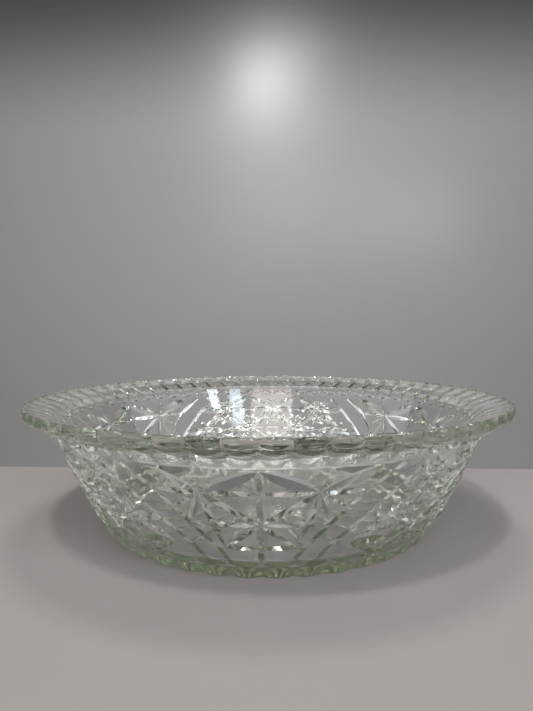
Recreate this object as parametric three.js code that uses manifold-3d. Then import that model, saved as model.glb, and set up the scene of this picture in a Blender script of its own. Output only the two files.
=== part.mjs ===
// A punch bowl pressed in one piece of clear glass: a flat star-cut foot, a deep flaring wall that the
// mould cuts into fans of stars between smooth slanting bands, and a flared rim of rounded ribs.
// Millimetres, +Z up. The origin is the centre of the ring that the bowl stands on, and the mould seam
// in the middle of one star fan faces -Y.
import * as THREE from "three";
import { mergeVertices } from "three/addons/utils/BufferGeometryUtils.js";
import Module from "manifold-3d";

const wasm = await Module();
wasm.setup();

// Overall sizes
const rimRadius = 178;
const height = 93;
const footRadius = 121; // outer edge of the ring that stands on the table

// Rim: a ring of ribs that flares up and out
const flangeWidth = 17;
const flangeSlope = 19; // degrees above level
const rimThickness = 6.8; // at a rib's crest
const rimRound = 1; // how far the edge bulges between its two corners
const ribNotch = 1.7; // how far the edge steps in between two ribs
const ribTopDip = 0.6; // how far the top and the underside come together between two ribs
const ribUnderDip = 1.1;

// Wall
const neckHeight = 8; // plain strip between the star cuts and the rim
const neckFlare = 3.8; // how much the plain strip widens
const wallBulge = 2;
const wallThickness = 7.6;
const floorThickness = 7.2;
const floorFillet = 9; // how far the floor's corner is cut in
const floorFilletRise = 5.4; // how far up the wall the corner starts

// Foot
const heelHeight = 13; // lobed zone under the star cuts
const heelStep = 2.8; // how far the wall starts outside the standing ring
const heelRise = 2.2;
const heelNotch = 2.6;
const standWidth = 15; // the ring that touches the table
const recessDepth = 1.8;
const recessDraft = 2.5;

// Mould and pattern
const mouldParts = 3;
const ribsPerPart = 21;
const lobesPerPart = 14;
const floorRays = 24;
const mitreWidth = 4.6; // of a cut at its middle
const mitreDepth = 2.4;
const leafWidth = 8; // of the broad cuts that open towards the rim
const leafDepth = 2.6;
const mitreOverrun = 0.6; // the most that a cut's tips may be carried past their stars to reach them
const borderWidth = 1.7; // of the fine cuts along the smooth bands
const borderDepth = 0.5;
const rayLength = 72;
const rayWidth = 8;
const rayDepth = 1.1;
const rayMargin = 4; // plain glass between the rays and the edge of the recess

// Where the stars are: turns in degrees from the middle of a fan, and how far down the cut zone each
// row is as a share of its height
const rowShares = { top: 0.017, upper: 0.235, middle: 0.56, lower: 0.82, bottom: 1 };
const upperStarTurn = 12.1;
const lowerStarTurn = 8.2;
const topTips = [14.5, 24.5]; // where two cuts run out above each upper star
const sideTip = 18.4;
const netStep = 9.7; // half the turn between two stars in the net between the fans

// How far each edge of a smooth band is from the middle of its fan, at each row
const bandInnerTurns = { top: 29.5, upper: 22.3, middle: 15.5, lower: 10.1, bottom: 7.5 };
const bandOuterTurns = { top: 37, upper: 30.7, middle: 22.4, lower: 16, bottom: 13 };

const degree = Math.PI / 180;
// Heights and radii that follow from the sizes above
const flangeRise = flangeWidth * Math.tan(flangeSlope * degree);
const edgeBottom = height - rimThickness;
const shoulder = { r: rimRadius - flangeWidth, z: edgeBottom - flangeRise };
const patternTop = { r: shoulder.r - neckFlare, z: shoulder.z - neckHeight };
const heel = { r: footRadius + heelStep, z: heelRise };
const recessRadius = footRadius - standWidth - recessDraft;

// The outer wall is one arc from the heel to the top of the star cuts.
const chord = Math.hypot(patternTop.r - heel.r, patternTop.z - heel.z);
const wallRadius = (chord * chord) / (8 * wallBulge) + wallBulge / 2;
const chordAngle = Math.atan2(patternTop.z - heel.z, patternTop.r - heel.r);
const wallCentre = {
  r: (heel.r + patternTop.r) / 2 - (wallRadius - wallBulge) * Math.sin(chordAngle),
  z: (heel.z + patternTop.z) / 2 + (wallRadius - wallBulge) * Math.cos(chordAngle),
};

function arcRadiusAt(z, arcRadius) {
  return wallCentre.r + Math.sqrt(arcRadius * arcRadius - (z - wallCentre.z) ** 2);
}

function wallArc(fromZ, toZ, steps, arcRadius) {
  return Array.from({ length: steps + 1 }, (_, i) => {
    const z = fromZ + ((toZ - fromZ) * i) / steps;
    return { r: arcRadiusAt(z, arcRadius), z };
  });
}

const topInside = height - flangeRise; // where the rim tops end, on the inside of the rim
const flangeSkin = rimThickness * Math.cos(flangeSlope * degree);
const lip = { r: shoulder.r - wallThickness / 2, z: topInside - flangeSkin / 2 };

// The half section of the vessel, from the axis under the foot, up the outside, over the crease inside
// the rim and down to the floor. A notch is how far a point moves between two lobes.
function vesselSection() {
  const floor = recessDepth + floorThickness;
  const innerRadius = wallRadius - wallThickness;
  return [
    { r: 0, z: recessDepth },
    { r: recessRadius, z: recessDepth },
    { r: recessRadius + recessDraft, z: 0 },
    { r: footRadius, z: 0, notch: { r: -heelNotch, z: 0 } },
    { ...heel, notch: { r: -heelNotch, z: heelNotch / 2 } },
    ...wallArc(heelHeight, patternTop.z, 3, wallRadius),
    shoulder,
    { r: shoulder.r, z: topInside },
    lip,
    ...wallArc(patternTop.z, floor + floorFilletRise, 3, innerRadius),
    { r: arcRadiusAt(floor, innerRadius) - floorFillet, z: floor },
    { r: 0, z: floor },
  ];
}

// The half section of the rim, a closed loop that is sunk a little way into the top of the vessel.
function rimSection() {
  const sunk = (shoulder.r + lip.r) / 2;
  const corner = { r: shoulder.r, z: topInside };
  return [
    { r: sunk, z: shoulder.z },
    shoulder,
    { r: rimRadius - rimRound, z: edgeBottom, notch: { r: -ribNotch, z: ribUnderDip } },
    { r: rimRadius, z: edgeBottom + rimThickness / 2, notch: { r: -ribNotch, z: 0 } },
    { r: rimRadius - rimRound, z: height, notch: { r: -ribNotch, z: -ribTopDip } },
    corner,
    { r: sunk, z: shoulder.z },
  ];
}

// A solid for manifold-3d from a closed three.js geometry.
function solidOf(geometry) {
  const bare = geometry.clone();
  bare.deleteAttribute("normal");
  bare.deleteAttribute("uv");
  const merged = mergeVertices(bare, 1e-4);
  return new wasm.Manifold(
    new wasm.Mesh({
      numProp: 3,
      vertProperties: merged.attributes.position.array,
      triVerts: new Uint32Array(merged.index.array),
    }),
  );
}

function geometryOf(solid) {
  const mesh = solid.getMesh();
  const geometry = new THREE.BufferGeometry();
  geometry.setAttribute("position", new THREE.BufferAttribute(mesh.vertProperties, 3));
  geometry.setIndex(new THREE.BufferAttribute(mesh.triVerts, 1));
  geometry.computeVertexNormals();
  return geometry;
}

// A turned solid with two columns to each lobe: one on its crest, and one in the notch beside it.
function lobedLathe(outline, lobes) {
  const profile = outline.map((p) => new THREE.Vector2(p.r, p.z));
  const geometry = new THREE.LatheGeometry(profile, 2 * lobes);
  const position = geometry.attributes.position;
  for (let column = 0; column <= 2 * lobes; column++) {
    const turn = ((column % (2 * lobes)) * Math.PI) / lobes;
    outline.forEach((p, row) => {
      const notch = column % 2 === 0 && p.notch ? p.notch : { r: 0, z: 0 };
      const r = p.r + notch.r;
      position.setXYZ(column * outline.length + row, r * Math.cos(turn), r * Math.sin(turn), p.z + notch.z);
    });
  }
  return solidOf(geometry);
}

function onWall(turn, z) {
  const r = arcRadiusAt(z, wallRadius);
  return new THREE.Vector3(r * Math.cos(turn * degree), r * Math.sin(turn * degree), z);
}

function wallNormal(turn, z) {
  const out = arcRadiusAt(z, wallRadius) - wallCentre.r;
  const away = new THREE.Vector3(Math.cos(turn * degree), Math.sin(turn * degree), 0);
  return away.multiplyScalar(out).setZ(z - wallCentre.z).normalize();
}

// A cut is a long octahedron that lies half in the glass. It is deepest and widest at its middle, and
// it runs out to a point at each end, where the surface falls away from it.
function mitre(start, end, middle, outward, width, depth) {
  const along = end.clone().sub(start);
  const half = along.length() / 2;
  const sag = middle.clone().sub(start.clone().add(end).divideScalar(2)).dot(outward);
  const reach = half / (1 - Math.min(Math.max(sag / depth, 0), mitreOverrun));
  along.normalize();
  const across = outward.clone().cross(along).normalize();
  const up = along.clone().cross(across);
  const placed = new THREE.Matrix4().makeBasis(
    along.multiplyScalar(reach),
    across.multiplyScalar(width / 2),
    up.multiplyScalar(depth),
  );
  return solidOf(new THREE.OctahedronGeometry(1).applyMatrix4(placed.setPosition(middle)));
}

function wallCut([turnA, zA], [turnB, zB], width = mitreWidth, depth = mitreDepth) {
  const turn = (turnA + turnB) / 2;
  const z = (zA + zB) / 2;
  return mitre(onWall(turnA, zA), onWall(turnB, zB), onWall(turn, z), wallNormal(turn, z), width, depth);
}

const rowNames = Object.keys(rowShares);
const cutZone = patternTop.z - heelHeight;
const rows = Object.fromEntries(rowNames.map((row) => [row, patternTop.z - rowShares[row] * cutZone]));
const halfPart = 180 / mouldParts;

function bandEdge(turns) {
  return Object.fromEntries(rowNames.map((row) => [row, [turns[row], rows[row]]]));
}

const bandInner = bandEdge(bandInnerTurns);
const bandOuter = bandEdge(bandOuterTurns);

// The cuts on one side of a fan's middle, as pairs of [turn, z]. Two are broad leaves.
function fanCuts() {
  const star = { upper: [upperStarTurn, rows.upper], lower: [lowerStarTurn, rows.lower] };
  const centre = [0, rows.middle];
  return [
    [[0, rows.top], star.upper, leafWidth, leafDepth],
    [[0, rows.upper], star.upper],
    [centre, star.upper],
    [centre, bandInner.middle],
    [centre, star.lower],
    [[0, rows.lower], star.lower],
    [star.upper, [topTips[0], rows.top]],
    [star.upper, [topTips[1], rows.top], leafWidth, leafDepth],
    [star.upper, bandInner.upper],
    [star.upper, [sideTip, (rows.upper + rows.middle) / 2]],
    [star.upper, bandInner.middle],
    [star.upper, star.lower],
  ];
}

function seamCuts() {
  return rowNames.slice(1).map((row, i) => [[0, rows[rowNames[i]]], [0, rows[row]]]);
}

// The wide field between two fans is a net of stars, half a step apart from row to row.
function netCuts() {
  const starAt = (n, row) => [halfPart - n * netStep, rows[row]];
  const stars = { top: [1], upper: [0, 2], middle: [1, 3], lower: [0, 2, 4], bottom: [1, 3] };
  const slanting = rowNames.slice(1).flatMap((row, i) =>
    stars[row].flatMap((n) =>
      stars[rowNames[i]]
        .filter((m) => Math.abs(n - m) === 1)
        .map((m) => [starAt(n, row), starAt(m, rowNames[i])]),
    ),
  );
  const level = ["upper", "middle", "lower"].flatMap((row) =>
    stars[row].slice(1).map((n, i) => [starAt(stars[row][i], row), starAt(n, row)]),
  );
  const ends = [
    [starAt(2, "upper"), bandOuter.upper],
    [starAt(3, "middle"), bandOuter.middle],
  ];
  return [...slanting, ...level, ...ends];
}

function mirrored(cuts) {
  return cuts.flatMap(([a, b, ...size]) => [[a, b, ...size], [[-a[0], a[1]], [-b[0], b[1]], ...size]]);
}

function borderCuts() {
  return [bandInner, bandOuter].flatMap((edge) =>
    rowNames.slice(1).map((row, i) => [edge[rowNames[i]], edge[row]]),
  );
}

function wallCutters() {
  const middleCut = [[halfPart - netStep, rows.middle], [halfPart + netStep, rows.middle]];
  const deep = [...mirrored(fanCuts()), ...seamCuts(), ...mirrored(netCuts()), middleCut];
  const fine = mirrored(borderCuts());
  return Array.from({ length: mouldParts }, (_, part) => {
    const turned = ([turn, z]) => [turn + (part * 360) / mouldParts, z];
    return [
      ...deep.map(([a, b, ...size]) => wallCut(turned(a), turned(b), ...size)),
      ...fine.map(([a, b]) => wallCut(turned(a), turned(b), borderWidth, borderDepth)),
    ];
  }).flat();
}

// The rays under the floor are cut up into the ceiling of the recess.
function rayCutters() {
  const down = new THREE.Vector3(0, 0, -1);
  const outer = recessRadius - rayMargin;
  return Array.from({ length: floorRays }, (_, ray) => {
    const turn = (ray / floorRays) * 2 * Math.PI;
    const at = (r) => new THREE.Vector3(r * Math.cos(turn), r * Math.sin(turn), recessDepth);
    return mitre(at(outer - rayLength), at(outer), at(outer - rayLength / 2), down, rayWidth, rayDepth);
  });
}

const glass = new THREE.MeshStandardMaterial({
  color: 0xdfe8dc,
  roughness: 0.05,
  metalness: 0,
  transparent: true,
  opacity: 0.4,
});

function punchBowl() {
  const vessel = lobedLathe(vesselSection(), mouldParts * lobesPerPart);
  const rim = lobedLathe(rimSection(), mouldParts * ribsPerPart);
  const solid = vessel.add(rim).subtract(wasm.Manifold.union([...wallCutters(), ...rayCutters()]));
  const mesh = new THREE.Mesh(geometryOf(solid), glass);
  mesh.name = "bowl";
  mesh.rotation.z = -90 * degree; // turns the seam in the middle of a fan to face -Y
  return mesh;
}

const part = new THREE.Group();
part.add(punchBowl());
export default part;
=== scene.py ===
import bpy, bmesh, math, time
from mathutils import Matrix, Vector


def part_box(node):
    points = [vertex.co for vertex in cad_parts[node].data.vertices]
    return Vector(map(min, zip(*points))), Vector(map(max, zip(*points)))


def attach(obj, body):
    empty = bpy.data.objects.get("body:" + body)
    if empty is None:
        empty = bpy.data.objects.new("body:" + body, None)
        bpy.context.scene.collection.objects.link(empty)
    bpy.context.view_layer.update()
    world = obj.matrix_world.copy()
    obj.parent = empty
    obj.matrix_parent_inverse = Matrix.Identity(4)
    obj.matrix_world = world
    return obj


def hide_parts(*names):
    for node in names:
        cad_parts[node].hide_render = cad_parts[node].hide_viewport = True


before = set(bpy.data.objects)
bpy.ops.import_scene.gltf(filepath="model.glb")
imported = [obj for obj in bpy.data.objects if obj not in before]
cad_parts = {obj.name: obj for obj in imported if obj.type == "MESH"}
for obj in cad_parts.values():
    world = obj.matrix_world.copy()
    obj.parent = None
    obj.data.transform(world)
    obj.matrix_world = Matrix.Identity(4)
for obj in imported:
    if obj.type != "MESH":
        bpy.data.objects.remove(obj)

startTime = time.time()
scene = bpy.context.scene
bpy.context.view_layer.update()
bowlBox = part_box("bowl")
mm = 0.001

# the rim and the height are read off the frame, everything else is set below in mm
rimRadius = (bowlBox[1][0] - bowlBox[0][0]) / 2 / mm
bowlHeight = bowlBox[1][2] / mm


def report(stage):
    print("[punch bowl] %s  %.1f s" % (stage, time.time() - startTime))


cameraSettings = {
    "lens": 27.34,
    "distance": 0.4250,
    "height": 0.1415,
    "turn": 1.76,       # degrees round the bowl, from the mould seam
    "yaw": 0.14,
    "pitch": 2.49,
    "roll": 0.22,
}


def makeCamera(s):
    cam = bpy.data.cameras.new("camera")
    cam.lens = s["lens"]
    cam.sensor_width = 36
    cam.clip_start = 0.01
    obj = bpy.data.objects.new("camera", cam)
    scene.collection.objects.link(obj)
    turn = math.radians(s["turn"])
    place = Vector((s["distance"] * math.sin(turn), -s["distance"] * math.cos(turn), s["height"]))
    aim = (Matrix.Rotation(turn + math.radians(s["yaw"]), 4, "Z")
           @ Matrix.Rotation(math.radians(90 - s["pitch"]), 4, "X")
           @ Matrix.Rotation(math.radians(-s["roll"]), 4, "Z"))
    obj.matrix_world = Matrix.Translation(place) @ aim
    scene.camera = obj


makeCamera(cameraSettings)


def newObject(name, bm):
    mesh = bpy.data.meshes.new(name)
    bm.to_mesh(mesh)
    bm.free()
    obj = bpy.data.objects.new(name, mesh)
    scene.collection.objects.link(obj)
    return obj


def faceOutwards(bm):
    # on a thin bent shape the recalculated faces can all point inwards, and such a cutter would cut nothing
    bmesh.ops.recalc_face_normals(bm, faces=bm.faces)
    if bm.calc_volume(signed=True) < 0:
        bmesh.ops.reverse_faces(bm, faces=bm.faces)


def spinProfile(points, steps):
    # a half section on the XZ plane, turned once round Z
    bm = bmesh.new()
    verts = [bm.verts.new((x * mm, 0, z * mm)) for x, z in points]
    edges = [bm.edges.new(pair) for pair in zip(verts, verts[1:])]
    bmesh.ops.spin(bm, geom=verts + edges, cent=(0, 0, 0), axis=(0, 0, 1), dvec=(0, 0, 0),
                   angle=2 * math.pi, steps=steps, use_merge=True)
    bmesh.ops.remove_doubles(bm, verts=bm.verts, dist=1e-6)
    faceOutwards(bm)
    return bm


bodySettings = {
    "steps": 378,              # columns all round, 6 to a rim rib and 9 to a heel lobe
    "flangeWidth": 17.0,
    "flangeSlope": 19,         # degrees
    "rimThickness": 6.8,
    "neckHeight": 8.0,
    "neckFlare": 3.8,
    "wallBulge": 2.0,
    "wallThickness": 7.6,
    "footRadius": 121.0,
    "heelStep": 2.8,
    "heelRise": 2.2,
    "floorThickness": 7.2,
    "recessDepth": 1.8,
    "standWidth": 15.0,
    "mouldParts": 3,
    "ribs": 63,
    "ribNotch": 3.0,           # how far the edge steps in between two ribs
    "ribDrop": 0.9,            # how far the under side steps up between two ribs
    "ribSwell": 3.2,           # how far the ribs stand out under the rim and on the neck
    "ribTopDip": 0.9,
    "lobes": 42,
    "heelNotch": 2.6,
    "heelHeight": 13.0,
    "seamHeight": 0.2,         # the line that the mould's joint leaves
    "outsideRing": 3.2,        # height between two rings of the mesh
    "insideRing": 4.0,
    "underRings": (0.06, 0.14, 0.24, 0.36, 0.5, 0.64, 0.76, 0.86, 0.93),    # shares of the flange
    "topRings": (0.86, 0.7, 0.5, 0.3, 0.12),
    "floorRings": (90, 60, 30, 0),
    # runs, as a start and a length: on the rim they are shares of the flange, on the neck of its height
    "ribRun": (0.08, 0.25),
    "ribLag": 0.2,             # how much later the top of the rim rises between two ribs
    "edgeRun": (0.7, 0.3),
    "swellIn": (-0.2, 0.5),
    "swellOut": (0.0, 0.5),    # from the edge inwards
    "swellMiddle": 0.3,
    "neckRun": (0.12, 0.3),
    "neckLag": 0.6,
    "heelRun": (0.0, 9.0),     # in mm, from the top of the lobes down
}

body = bodySettings
flangeRise = body["flangeWidth"] * math.tan(math.radians(body["flangeSlope"]))
shoulderR = rimRadius - body["flangeWidth"]
shoulderZ = bowlHeight - body["rimThickness"] - flangeRise
patternTopR = shoulderR - body["neckFlare"]
patternTopZ = shoulderZ - body["neckHeight"]
heelR = body["footRadius"] + body["heelStep"]
chord = math.hypot(patternTopR - heelR, patternTopZ - body["heelRise"])
wallRadius = chord ** 2 / (8 * body["wallBulge"]) + body["wallBulge"] / 2
chordAngle = math.atan2(patternTopZ - body["heelRise"], patternTopR - heelR)
wallCentreR = (heelR + patternTopR) / 2 - (wallRadius - body["wallBulge"]) * math.sin(chordAngle)
wallCentreZ = (body["heelRise"] + patternTopZ) / 2 + (wallRadius - body["wallBulge"]) * math.cos(chordAngle)


def wallR(z, inset=0.0):
    return wallCentreR + math.sqrt((wallRadius - inset) ** 2 - (z - wallCentreZ) ** 2)


def arc(points, count):
    # a quadratic curve from the first point to the third, drawn towards the one between them
    (ax, az), (bx, bz), (cx, cz) = points
    out = []
    for i in range(count + 1):
        t = i / count
        out.append(((1 - t) ** 2 * ax + 2 * t * (1 - t) * bx + t * t * cx,
                    (1 - t) ** 2 * az + 2 * t * (1 - t) * bz + t * t * cz))
    return out


def bodyProfile():
    foot, recess, thick = body["footRadius"], body["recessDepth"], body["wallThickness"]
    floor = recess + body["floorThickness"]
    recessR = foot - body["standWidth"]
    topInside = bowlHeight - flangeRise
    # the recess under the floor, its edge, the ring that the bowl stands on and the heel
    p = [(0, recess), (recessR * 0.35, recess), (recessR * 0.7, recess)]
    p += arc([(recessR - 5, recess), (recessR - 1, recess), (recessR, 0.3)], 4)
    p += arc([(recessR + 0.6, 0), (recessR + 6, 0), (foot - 1.5, 0)], 3)
    p += arc([(foot - 0.8, 0.05), (foot + 1.5, 0.6), (heelR - 0.6, body["heelRise"] - 0.6)], 4)
    z = body["heelRise"] + 0.6
    while z < patternTopZ - 0.5:
        p.append((wallR(z), z))
        z += body["outsideRing"]
    p.append((patternTopR, patternTopZ))
    # the neck, then the under side of the rim
    p += arc([(patternTopR + 0.25, patternTopZ + 0.8), (shoulderR - 1.1, shoulderZ - 4.0),
              (shoulderR - 0.2, shoulderZ - 0.4)], 9)
    p += [(shoulderR + t * body["flangeWidth"], shoulderZ + t * flangeRise) for t in body["underRings"]]
    # the rim's edge, in two roundings that meet half way up
    edgeBottom = bowlHeight - body["rimThickness"]
    edgeMiddle = edgeBottom + body["rimThickness"] / 2
    p += arc([(rimRadius - 1.2, edgeBottom - 0.2), (rimRadius + 0.4, edgeBottom + 0.6),
              (rimRadius, edgeMiddle)], 4)
    p += arc([(rimRadius, edgeMiddle + 0.3), (rimRadius + 0.3, bowlHeight - 0.5),
              (rimRadius - 1.4, bowlHeight - 0.2)], 4)
    p += [(shoulderR + t * body["flangeWidth"], topInside + t * flangeRise) for t in body["topRings"]]
    # over the crease and down the inside
    p += arc([(shoulderR + 0.6, topInside + 0.1), (shoulderR - 1.5, topInside - 0.9),
              (wallR(patternTopZ + 6, thick) + 0.9, patternTopZ + 9)], 4)
    z = patternTopZ + 4
    while z > floor + 7:
        p.append((wallR(z, thick), z))
        z -= body["insideRing"]
    p += arc([(wallR(floor + 5.4, thick), floor + 5.4), (wallR(floor, thick) - 1.2, floor + 0.1),
              (wallR(floor, thick) - 11, floor)], 7)
    return p + [(r, floor) for r in body["floorRings"]]


def ramp(x, run):
    # 0 up to the start of the run, 1 from its end on, and smooth between
    start, length = run
    x = min(max((x - start) / length, 0.0), 1.0)
    return x * x * (3 - 2 * x)


def pressRibsAndLobes(bm):
    # the turned blank is plain, so the ribs, the heel lobes and the mould seams are pressed in here
    part = 2 * math.pi / body["mouldParts"]
    for v in bm.verts:
        r = math.hypot(v.co.x, v.co.y) / mm
        z = v.co.z / mm
        if r < 1:
            continue
        turn = math.atan2(v.co.x, -v.co.y)            # 0 at the seam that faces -Y
        rib = abs(math.sin(body["ribs"] * turn / 2))
        lobe = abs(math.sin(body["lobes"] * turn / 2))
        if r > shoulderR:
            out = (r - shoulderR) / body["flangeWidth"]
            edge = ramp(out, body["edgeRun"])
            middle = shoulderZ + out * flangeRise + body["rimThickness"] / 2
            if z < middle:
                z += body["ribDrop"] * (1 - rib) * edge
                swell = ramp(1 - out, body["swellOut"]) * ramp(out, body["swellIn"])
                z -= body["ribSwell"] * (rib - body["swellMiddle"]) * swell
            else:
                z -= body["ribTopDip"] * (1 - rib) * ramp(out - body["ribLag"] * (1 - rib), body["ribRun"])
            r -= body["ribNotch"] * (1 - rib) * edge
        elif z < body["heelHeight"] and r > body["footRadius"] - 2:
            r -= body["heelNotch"] * (1 - lobe) * ramp(body["heelHeight"] - z, body["heelRun"])
        neck = (z - patternTopZ) / body["neckHeight"]
        if r <= shoulderR and 0 < neck < 1.05 and r > patternTopR - 1:
            r += body["ribSwell"] * rib * ramp(neck - body["neckLag"] * (1 - rib), body["neckRun"])
        # a fine line up the outside at each joint of the mould
        offSeam = abs((turn + part / 2) % part - part / 2)
        outside = body["heelHeight"] < z < shoulderZ and r > wallR(z, body["wallThickness"] / 2)
        if outside and offSeam < math.pi / body["steps"]:
            r += body["seamHeight"]
        v.co.x = r * mm * math.sin(turn)
        v.co.y = -r * mm * math.cos(turn)
        v.co.z = z * mm


def makeBlank():
    bm = spinProfile(bodyProfile(), body["steps"])
    bmesh.ops.rotate(bm, verts=bm.verts, cent=(0, 0, 0), matrix=Matrix.Rotation(-math.pi / 2, 3, "Z"))
    pressRibsAndLobes(bm)
    return newObject("bowlGlass", bm)


# the cut-look pattern: turns are degrees from the middle of a fan, heights are mm
cutSettings = {
    "rowShares": {"top": 0.017, "upper": 0.235, "middle": 0.56, "lower": 0.82, "bottom": 1.0},
    "upperStarTurn": 12.1,
    "lowerStarTurn": 8.2,
    "topTips": (14.5, 24.5),
    "sideTip": 18.4,
    "netStep": 9.7,
    "bandInner": {"top": 29.5, "upper": 22.3, "middle": 15.5, "lower": 10.1, "bottom": 7.5},
    "bandOuter": {"top": 37.0, "upper": 30.7, "middle": 22.4, "lower": 16.0, "bottom": 13.0},
    "mitreWidth": 3.8,
    "mitreDepth": 2.1,
    "netWidth": 6.8,           # the field between the fans is cut more boldly
    "netDepth": 3.6,
    "levelWidth": 6.2,         # the level cuts in the net, which show in the outline
    "levelDepth": 3.6,
    "buttonWidth": 4.6,        # the small star in each cell of the net
    "buttonDepth": 2.2,
    "buttonSpan": 0.36,        # half its length, as a share of a step of the net
    "buttonSide": 0.7,         # its slanting cuts are shorter
    "netEnd": 0.65,            # the net's last cuts run out small
    "steepWidth": 4.4,
    "sideShare": 0.8,
    "leafWidth": 8.0,          # the broad cuts that open towards the rim
    "leafDepth": 2.6,
    "borderWidth": 2.8,        # of the cuts that run the whole length of a smooth band
    "borderDepth": 1.5,
    "borderSteps": 24,
    "heelWidth": 5.0,          # the ring of small cuts above the heel lobes
    "heelDepth": 1.9,
    "cutSteps": 10,
    "wallFullness": 2.6,       # 2 is a plain arc, more keeps the width further towards the tips
    "rayFullness": 2.0,
    "rays": 24,
    "rayLength": 72.0,
    "rayWidth": 8.0,
    "rayDepth": 1.1,
    "rayMargin": 6.5,          # from the edge of the recess
}
pattern = cutSettings
rowNames = list(pattern["rowShares"])
rows = {row: patternTopZ - share * (patternTopZ - body["heelHeight"])
        for row, share in pattern["rowShares"].items()}
halfPart = 180 / body["mouldParts"]


def fourSided(points):
    # a line along X, turned about that axis in four steps, so that each half of it is a V
    bm = bmesh.new()
    verts = [bm.verts.new((x, 0, z)) for x, z in points]
    edges = [bm.edges.new(pair) for pair in zip(verts, verts[1:])]
    bmesh.ops.spin(bm, geom=verts + edges, cent=(0, 0, 0), axis=(1, 0, 0), dvec=(0, 0, 0),
                   angle=2 * math.pi, steps=4, use_merge=True)
    bmesh.ops.remove_doubles(bm, verts=bm.verts, dist=1e-5)
    faceOutwards(bm)
    return bm


def alongCutter(steps):
    return [-1 + 2 * i / steps for i in range(steps + 1)]


def spindle(steps, fullness):
    # the shape a wheel leaves: a shallow arc turned about its own chord
    return fourSided([(x, 1 - abs(x) ** fullness) for x in alongCutter(steps)])


def onWall(turn, z):
    a = math.radians(turn)
    r = wallR(z)
    return Vector((r * math.sin(a), -r * math.cos(a), z))


def wallNormal(turn, z):
    a = math.radians(turn)
    out = wallR(z) - wallCentreR
    return Vector((out * math.sin(a), -out * math.cos(a), z - wallCentreZ)).normalized()


def bentCutter(bm, path, width, depth):
    # a straight cutter is bent to the wall, along a path that gives a turn and a height
    # for each share of its length
    for v in bm.verts:
        share = (v.co.x + 1) / 2
        turn, z = path(share)
        place, normal = onWall(turn, z), wallNormal(turn, z)
        across = normal.cross((onWall(*path(share + 0.01)) - place).normalized())
        v.co = (place + across * (v.co.y * width / 2) + normal * (v.co.z * depth)) * mm
    faceOutwards(bm)
    return newObject("cutter", bm)


def wallCutter(start, end, width, depth):
    # a cut from one star to the next
    def path(share):
        return [a + (z - a) * share for a, z in zip(start, end)]
    return bentCutter(spindle(pattern["cutSteps"], pattern["wallFullness"]), path, width, depth)


def rayCutter(index):
    # a ray of the star under the floor
    bm = spindle(pattern["cutSteps"], pattern["rayFullness"])
    outer = body["footRadius"] - body["standWidth"] - pattern["rayMargin"]
    centre = outer - pattern["rayLength"] / 2
    halfSizes = (pattern["rayLength"] / 2 * mm, pattern["rayWidth"] / 2 * mm, pattern["rayDepth"] * mm)
    bmesh.ops.scale(bm, verts=bm.verts, vec=halfSizes)
    bmesh.ops.translate(bm, verts=bm.verts, vec=(centre * mm, 0, body["recessDepth"] * mm))
    turn = Matrix.Rotation(2 * math.pi * index / pattern["rays"], 3, "Z")
    bmesh.ops.rotate(bm, verts=bm.verts, cent=(0, 0, 0), matrix=turn)
    return newObject("cutter", bm)


def borderPoint(edge, share, side, shift):
    # a point on the edge of a smooth band, as a share of the way down
    place = share * (len(rowNames) - 1)
    low = min(int(place), len(rowNames) - 2)
    a, z, part = rowNames[low], rowNames[low + 1], place - low
    turn = pattern[edge][a] + (pattern[edge][z] - pattern[edge][a]) * part
    return side * turn + shift, rows[a] + (rows[z] - rows[a]) * part


def borderCutter(edge, side, shift):
    # one even V-shaped cut along the edge of a smooth band, square at both ends
    def path(share):
        return borderPoint(edge, share, side, shift)
    bar = fourSided([(-1, 0)] + [(x, 1) for x in alongCutter(pattern["borderSteps"])] + [(1, 0)])
    return bentCutter(bar, path, pattern["borderWidth"], pattern["borderDepth"])


def fanCuts():
    # one side of the middle of a fan, as start, end, width and depth
    wide, deep, steep = pattern["mitreWidth"], pattern["mitreDepth"], pattern["steepWidth"]
    leafWide, leafDeep = pattern["leafWidth"], pattern["leafDepth"]
    upper, lower = (pattern["upperStarTurn"], rows["upper"]), (pattern["lowerStarTurn"], rows["lower"])
    centre = (0, rows["middle"])
    inner = {row: (pattern["bandInner"][row], rows[row]) for row in rowNames}
    half = (rows["upper"] + rows["middle"]) / 2
    side = pattern["sideShare"]
    return [
        ((0, rows["top"]), upper, leafWide, leafDeep),
        ((0, rows["upper"]), upper, wide, deep),
        (centre, upper, wide, deep),
        (centre, inner["middle"], wide, deep),
        (centre, lower, wide, deep),
        ((0, rows["lower"]), lower, wide, deep),
        (upper, (pattern["topTips"][1], rows["top"]), leafWide, leafDeep),
        (upper, (pattern["topTips"][0], rows["top"]), wide, deep),
        (upper, inner["upper"], wide, deep),
        (upper, (pattern["sideTip"], half), wide * side, deep * side),
        (upper, inner["middle"], steep, deep),
        (upper, lower, steep, deep),
    ]


def seamCuts():
    return [((0, rows[above]), (0, rows[row]), pattern["mitreWidth"], pattern["mitreDepth"])
            for above, row in zip(rowNames, rowNames[1:])]


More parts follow.
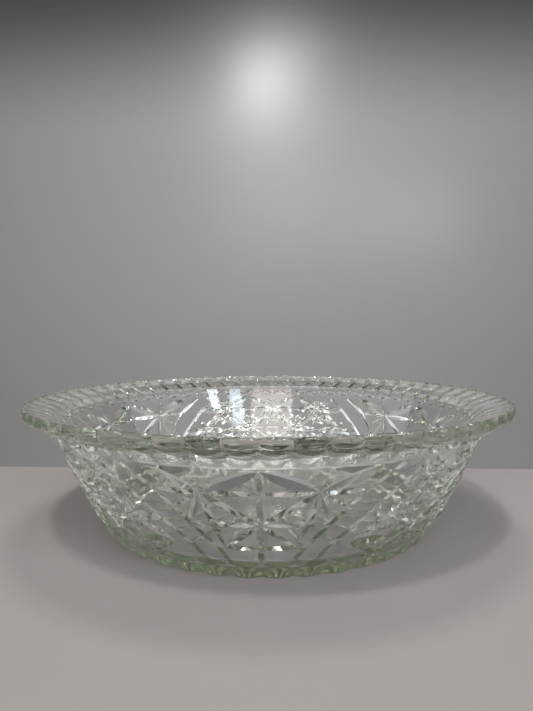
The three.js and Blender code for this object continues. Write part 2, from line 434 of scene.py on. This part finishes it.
def netCuts():
    # the wide field between two fans: stars half a step apart from row to row
    def star(n, row):
        return (halfPart - n * pattern["netStep"], rows[row])
    wide, deep = pattern["netWidth"], pattern["netDepth"]
    levelWide, levelDeep = pattern["levelWidth"], pattern["levelDepth"]
    stars = {"top": [1], "upper": [0, 2], "middle": [1, 3], "lower": [0, 2, 4], "bottom": [1, 3]}
    cuts = []
    for above, row in zip(rowNames, rowNames[1:]):
        share = pattern["netEnd"] if row == "bottom" else 1
        for n in stars[row]:
            cuts += [(star(n, row), star(m, above), wide * share, deep * share)
                     for m in stars[above] if abs(n - m) == 1]
    for row in ("upper", "middle", "lower"):
        for n in stars[row][1:]:
            cuts += [(star(m, row), star(n - 1, row), levelWide, levelDeep) for m in (n, n - 2)]
    for n, row in ((2, "upper"), (3, "middle")):
        cuts.append((star(n, row), (pattern["bandOuter"][row], rows[row]), wide, deep))
    # a small star in every cell, half way between the rows
    cells = {("top", "upper"): (0, 2), ("upper", "middle"): (1, 0, 2),
             ("middle", "lower"): (1, 0, 2, 3), ("lower", "bottom"): (1, 2, 3)}
    half, slant = pattern["netStep"] * pattern["buttonSpan"], pattern["buttonSide"]
    for (above, row), places in cells.items():
        rise, z = (rows[above] - rows[row]) / 4, (rows[above] + rows[row]) / 2
        for n in places:
            turn = halfPart - n * pattern["netStep"]
            cuts += [((turn - half * side, z - lift), (turn + half * side, z + lift),
                      pattern["buttonWidth"], pattern["buttonDepth"])
                     for side, lift in ((1, 0), (slant, rise), (slant, -rise))]
    # upright cuts through every star, which meet half way between the rows
    for above, row, below in zip(rowNames, rowNames[1:], rowNames[2:]):
        up, down = (rows[above] + rows[row]) / 2, (rows[below] + rows[row]) / 2
        for n in stars[row][:2]:
            turn = star(n, row)[0]
            cuts += [((turn, rows[row]), (turn, z), wide, deep) for z in (up, down)]
    return cuts


def bothSides(cuts):
    return cuts + [((-start[0], start[1]), (-end[0], end[1]), width, depth)
                   for start, end, width, depth in cuts]


def makeCutters():
    middle, step = rows["middle"], pattern["netStep"]
    across = ((halfPart - step, middle), (halfPart + step, middle),
              pattern["mitreWidth"], pattern["mitreDepth"])
    cuts = bothSides(fanCuts() + netCuts()) + seamCuts() + [across]
    cutters = []
    for part in range(body["mouldParts"]):
        shift = part * 360 / body["mouldParts"]
        for start, end, width, depth in cuts:
            start, end = (start[0] + shift, start[1]), (end[0] + shift, end[1])
            cutters.append(wallCutter(start, end, width, depth))
        for edge in ("bandInner", "bandOuter"):
            cutters += [borderCutter(edge, side, shift) for side in (-1, 1)]
    lobeTurn = 360 / body["lobes"]
    z = body["heelHeight"] - 1
    for lobe in range(body["lobes"]):
        start, end = (lobe * lobeTurn, z), ((lobe + 1) * lobeTurn, z)
        cutters.append(wallCutter(start, end, pattern["heelWidth"], pattern["heelDepth"]))
    return cutters + [rayCutter(i) for i in range(pattern["rays"])]


def cutPattern(blank, cutters):
    group = bpy.data.collections.new("cutters")
    for cutter in cutters:
        group.objects.link(cutter)
        scene.collection.objects.unlink(cutter)
    modifier = blank.modifiers.new("cuts", "BOOLEAN")
    modifier.operation = "DIFFERENCE"
    modifier.operand_type = "COLLECTION"
    modifier.collection = group
    modifier.solver = "MANIFOLD"
    scene.collection.children.link(group)
    baked = bpy.data.meshes.new_from_object(blank.evaluated_get(bpy.context.evaluated_depsgraph_get()))
    blank.modifiers.clear()
    blank.data = baked
    for cutter in cutters:
        bpy.data.objects.remove(cutter)
    bpy.data.collections.remove(group)


finishSettings = {
    "weld": 0.000002,
    "sharpAngle": 24,          # degrees between two faces, from which their edge is crisp
}


def finishMesh(obj, s):
    bm = bmesh.new()
    bm.from_mesh(obj.data)
    # triangles first, because a long face that is welded to itself leaves loose edges
    bmesh.ops.triangulate(bm, faces=bm.faces)
    bmesh.ops.remove_doubles(bm, verts=bm.verts, dist=s["weld"])
    bmesh.ops.dissolve_degenerate(bm, edges=bm.edges, dist=s["weld"])
    bmesh.ops.triangulate(bm, faces=bm.faces)
    bm.to_mesh(obj.data)
    bm.free()
    obj.data.shade_smooth()
    obj.data.set_sharp_from_angle(angle=math.radians(s["sharpAngle"]))


bowl = makeBlank()
report("blank turned and pressed: %d faces" % len(bowl.data.polygons))
cutters = makeCutters()
report("%d cutters bent to the wall" % len(cutters))
cutPattern(bowl, cutters)
report("pattern cut: %d faces" % len(bowl.data.polygons))
finishMesh(bowl, finishSettings)
bowl.name = bowl.data.name = "bowlGlass"
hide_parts("bowl")
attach(bowl, "root")
report("mesh finished: %d triangles" % len(bowl.data.polygons))


# pressed glass: clear, with a green cast that shows where it is thick, and a slightly wavy surface
glassSettings = {
    "ior": 1.52,
    "roughness": 0.015,
    "roughnessSpread": 0.03,   # how much rougher the smeared patches are
    "smearSize": 14.0,
    "smearRange": (0.45, 0.75),
    "tint": (0.33, 0.42, 0.20, 1),
    "tintDensity": 9.0,        # per metre of glass
    "waveSize": 70.0,          # waves per metre in the pressed surface
    "waveHeight": 0.00022,
    "chillSize": 900.0,        # fine chill marks of the iron mould
    "chillHeight": 0.000005,
}


def makeNoise(tree, place, size, detail):
    noise = tree.nodes.new("ShaderNodeTexNoise")
    noise.inputs["Scale"].default_value = size
    noise.inputs["Detail"].default_value = detail
    tree.links.new(place.outputs["Object"], noise.inputs["Vector"])
    return noise


def makeBump(tree, noise, height):
    bump = tree.nodes.new("ShaderNodeBump")
    bump.inputs["Strength"].default_value = 1.0
    bump.inputs["Distance"].default_value = height
    tree.links.new(noise.outputs["Fac"], bump.inputs["Height"])
    return bump


def makeGlass(s):
    mat = bpy.data.materials.new("pressedGlass")
    mat.use_nodes = True
    tree = mat.node_tree
    nodes, links = tree.nodes, tree.links
    shader = nodes["Principled BSDF"]
    shader.inputs["Base Color"].default_value = (1, 1, 1, 1)
    shader.inputs["Transmission Weight"].default_value = 1.0
    shader.inputs["IOR"].default_value = s["ior"]
    place = nodes.new("ShaderNodeTexCoord")
    waveBump = makeBump(tree, makeNoise(tree, place, s["waveSize"], 1.0), s["waveHeight"])
    chillBump = makeBump(tree, makeNoise(tree, place, s["chillSize"], 2.0), s["chillHeight"])
    links.new(waveBump.outputs["Normal"], chillBump.inputs["Normal"])
    links.new(chillBump.outputs["Normal"], shader.inputs["Normal"])
    # wiped and fingered patches are a little less bright than the rest
    smear = makeNoise(tree, place, s["smearSize"], 4.0)
    toRough = nodes.new("ShaderNodeMapRange")
    toRough.inputs["From Min"].default_value, toRough.inputs["From Max"].default_value = s["smearRange"]
    toRough.inputs["To Min"].default_value = s["roughness"]
    toRough.inputs["To Max"].default_value = s["roughness"] + s["roughnessSpread"]
    links.new(smear.outputs["Fac"], toRough.inputs["Value"])
    links.new(toRough.outputs["Result"], shader.inputs["Roughness"])
    tint = nodes.new("ShaderNodeVolumeAbsorption")
    tint.inputs["Color"].default_value = s["tint"]
    tint.inputs["Density"].default_value = s["tintDensity"]
    links.new(tint.outputs["Volume"], nodes["Material Output"].inputs["Volume"])
    return mat


bowl.data.materials.clear()
bowl.data.materials.append(makeGlass(glassSettings))
report("glass made")


# a pale table whose back edge is close behind the foot, a wall further back, and soft lamps
roomSettings = {
    "halfWidth": 3,
    "wallTop": 3,
    "slab": 0.02,                  # thickness of the wall and the lower floor
    "tableSlab": 0.03,
    "tableGap": 0.0002,            # keeps the table's top clear of the glass that stands on it
    "tableColor": (0.34, 0.32, 0.312, 1),
    "tableRoughness": 0.5,
    "tableBack": 0.133,
    "wallColor": (0.50, 0.495, 0.49, 1),
    "lowerColor": (0.75, 0.74, 0.73, 1),
    "wallTopColor": (0.05, 0.052, 0.055, 1),
    "wallFade": (0.75, 1.25),      # heights between which the wall goes dark
    "wallRoughness": 0.3,
    "wallDistance": 1.3,
    "lowerFloor": -0.36,
    "airColor": (0.80, 0.80, 0.82, 1),
    "ceilingLight": 1.3,
    "horizonLight": 0.95,
}


def plainMaterial(name, color, roughness):
    mat = bpy.data.materials.new(name)
    mat.use_nodes = True
    shader = mat.node_tree.nodes["Principled BSDF"]
    shader.inputs["Base Color"].default_value = color
    shader.inputs["Roughness"].default_value = roughness
    return mat


def makeSlab(name, low, high, mat):
    bm = bmesh.new()
    bmesh.ops.create_cube(bm, size=1)
    bmesh.ops.scale(bm, verts=bm.verts, vec=[h - l for l, h in zip(low, high)])
    bmesh.ops.translate(bm, verts=bm.verts, vec=[(h + l) / 2 for l, h in zip(low, high)])
    obj = newObject(name, bm)
    obj.data.materials.append(mat)


room = roomSettings
tableTop = plainMaterial("tableTop", room["tableColor"], room["tableRoughness"])
wallPanel = plainMaterial("wallPanel", room["wallColor"], room["wallRoughness"])
lowerPaint = plainMaterial("lowerPaint", room["lowerColor"], room["tableRoughness"])


def fadeWall(mat):
    nodes, links = mat.node_tree.nodes, mat.node_tree.links
    place = nodes.new("ShaderNodeTexCoord")
    split = nodes.new("ShaderNodeSeparateXYZ")
    fade = nodes.new("ShaderNodeMapRange")
    fade.interpolation_type = "SMOOTHSTEP"
    fade.inputs["From Min"].default_value, fade.inputs["From Max"].default_value = room["wallFade"]
    mix = nodes.new("ShaderNodeMix")
    mix.data_type = "RGBA"
    mix.inputs["A"].default_value = room["wallColor"]
    mix.inputs["B"].default_value = room["wallTopColor"]
    links.new(place.outputs["Object"], split.inputs["Vector"])
    links.new(split.outputs["Z"], fade.inputs["Value"])
    links.new(fade.outputs["Result"], mix.inputs["Factor"])
    links.new(mix.outputs["Result"], nodes["Principled BSDF"].inputs["Base Color"])


fadeWall(wallPanel)
side, wallAt, floorAt = room["halfWidth"], room["wallDistance"], room["lowerFloor"]
makeSlab("table", (-side, -side, -room["tableSlab"]), (side, room["tableBack"], -room["tableGap"]), tableTop)
makeSlab("lowerFloor", (-side, -side, floorAt - room["slab"]), (side, wallAt, floorAt), lowerPaint)
makeSlab("wall", (-side, wallAt, floorAt), (side, wallAt + room["slab"], room["wallTop"]), wallPanel)

lamps = {
    # name: place, aim, width and height in m, power in W, colour
    "lampAbove": ((0.02, 0.08, 1.6), (0, 0, 0), (0.4, 0.4), 6.0, (1.0, 0.98, 0.96)),
    "lampFill": ((-0.1, 0.1, 1.5), (0, 0, 0), (0.2, 0.2), 5.5, (1.0, 0.98, 0.96)),
    "lampFront": ((-0.14, -0.9, 1.86), (0, 0.3, 0), (0.2, 0.2), 13.0, (1.0, 0.95, 0.92)),
    "windowWarm": ((-0.03, -1.3, 1.15), (0, 0, 0.05), (0.8, 0.9), 8.0, (1.0, 0.88, 0.84)),
    "windowCool": ((0.73, -1.43, 1.1), (0, 0, 0.05), (0.25, 0.5), 4.0, (0.74, 0.90, 1.0)),
    "windowSide": ((1.13, -1.13, 1.0), (0, 0, 0.05), (0.2, 0.4), 4.0, (0.80, 0.92, 1.0)),
}


def makeLamp(name, place, aim, size, power, color):
    lamp = bpy.data.lights.new(name, "AREA")
    lamp.shape = "RECTANGLE" if size[0] != size[1] else "DISK"
    lamp.size, lamp.size_y = size
    lamp.energy = power
    lamp.color = color
    obj = bpy.data.objects.new(name, lamp)
    scene.collection.objects.link(obj)
    place, aim = Vector(place), Vector(aim)
    obj.matrix_world = Matrix.Translation(place) @ (aim - place).to_track_quat("-Z", "Y").to_matrix().to_4x4()
    return obj


madeLamps = {name: makeLamp(name, *settings) for name, settings in lamps.items()}

# some light gets through the glass to the table in its shadow
madeLamps["lampFill"].data.use_shadow = False


def makeWorld():
    # a bright ceiling that falls off to a dim horizon
    world = bpy.data.worlds.new("room")
    world.use_nodes = True
    nodes, links = world.node_tree.nodes, world.node_tree.links
    place = nodes.new("ShaderNodeTexCoord")
    split = nodes.new("ShaderNodeSeparateXYZ")
    fade = nodes.new("ShaderNodeMapRange")
    fade.inputs["To Min"].default_value = room["horizonLight"]
    fade.inputs["To Max"].default_value = room["ceilingLight"]
    links.new(place.outputs["Generated"], split.inputs["Vector"])
    links.new(split.outputs["Z"], fade.inputs["Value"])
    links.new(fade.outputs["Result"], nodes["Background"].inputs["Strength"])
    nodes["Background"].inputs["Color"].default_value = room["airColor"]
    scene.world = world


makeWorld()
scene.view_settings.view_transform = "Standard"
# the room shows in the glass, but the lamps alone light the table, so the bowl's shadow stays clear
scene.world.cycles_visibility.diffuse = False
scene.cycles.caustics_reflective = False
scene.cycles.caustics_refractive = False
# light turns many corners in cut glass before it gets out
scene.cycles.max_bounces = 24
scene.cycles.glossy_bounces = 20
scene.cycles.transmission_bounces = 24

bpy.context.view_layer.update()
report("scene ready")
